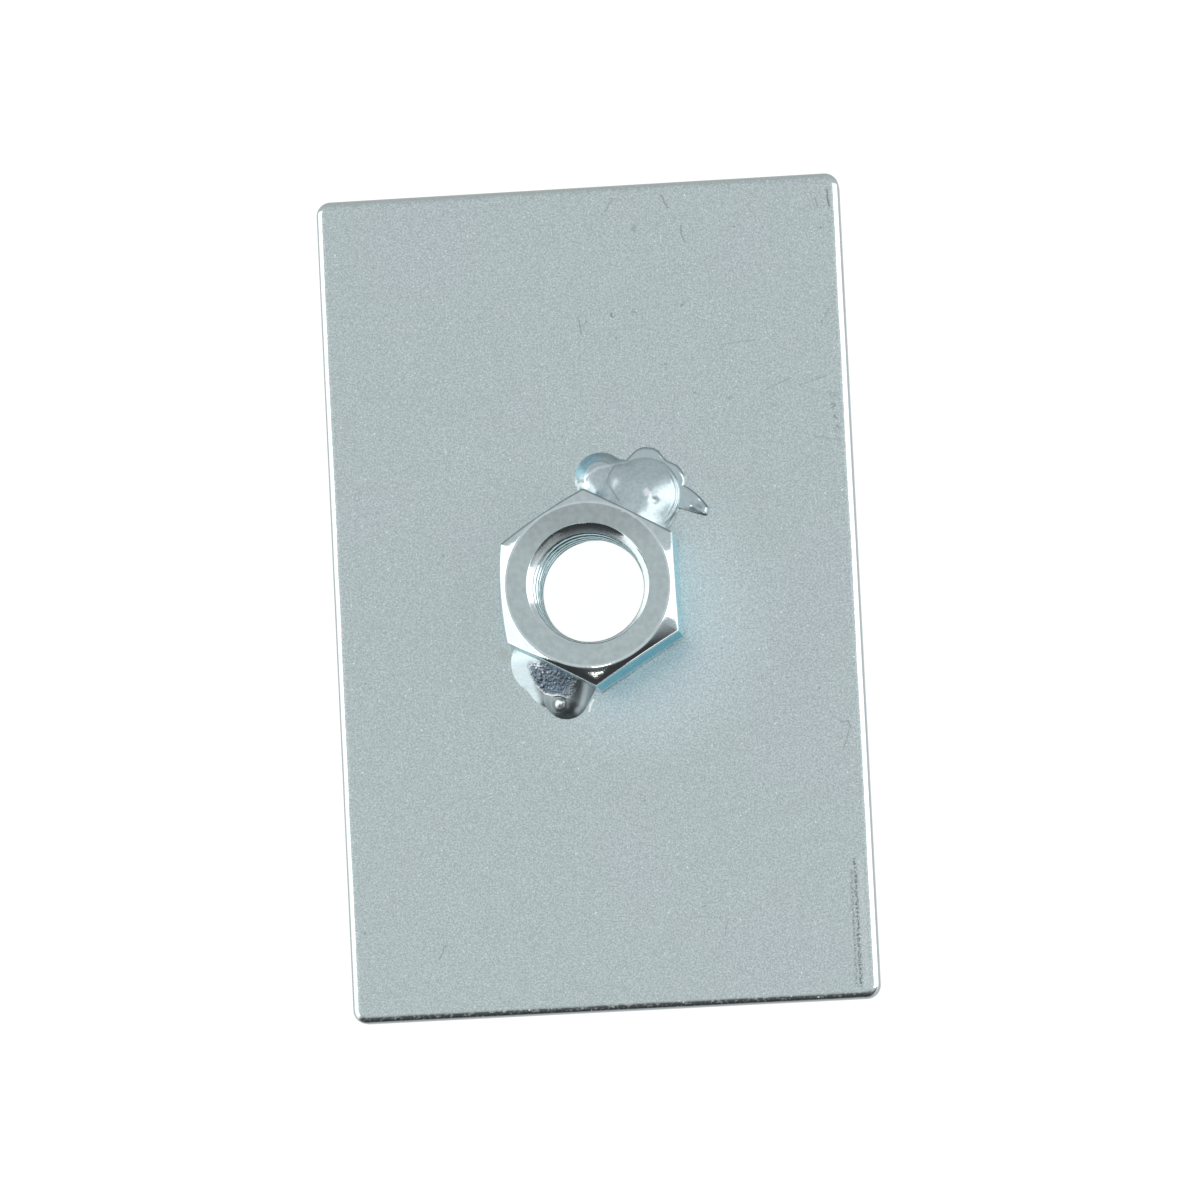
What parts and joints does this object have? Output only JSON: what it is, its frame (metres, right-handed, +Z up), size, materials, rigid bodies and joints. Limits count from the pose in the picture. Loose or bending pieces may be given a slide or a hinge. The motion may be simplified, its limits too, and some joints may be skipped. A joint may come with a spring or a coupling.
{
  "type": "plate nut",
  "caption": "Zinc plated plate nut: a hexagon nut tack welded over the bolt hole of a flat rectangular steel plate, which spreads the bolt's load behind a thin panel.",
  "frame": {"origin": "middle of the plate's underside", "axes": "+X across the plate, +Y along its length, +Z up out of the plate on the nut's side"},
  "size_m": [0.0524, 0.0826, 0.0132],
  "materials": {
    "plate_zinc": "clear passivated zinc plating, satin with a fine grain",
    "nut_zinc": "clear passivated zinc plating, bright on the turned faces",
    "weld_zinc": "zinc plated weld metal, glossy with rough crust"
  },
  "bodies": {
    "root": {"plate": "plate_zinc", "hex_nut": "nut_zinc", "right_weld": "weld_zinc", "left_weld": "weld_zinc"}
  },
  "joints": []
}
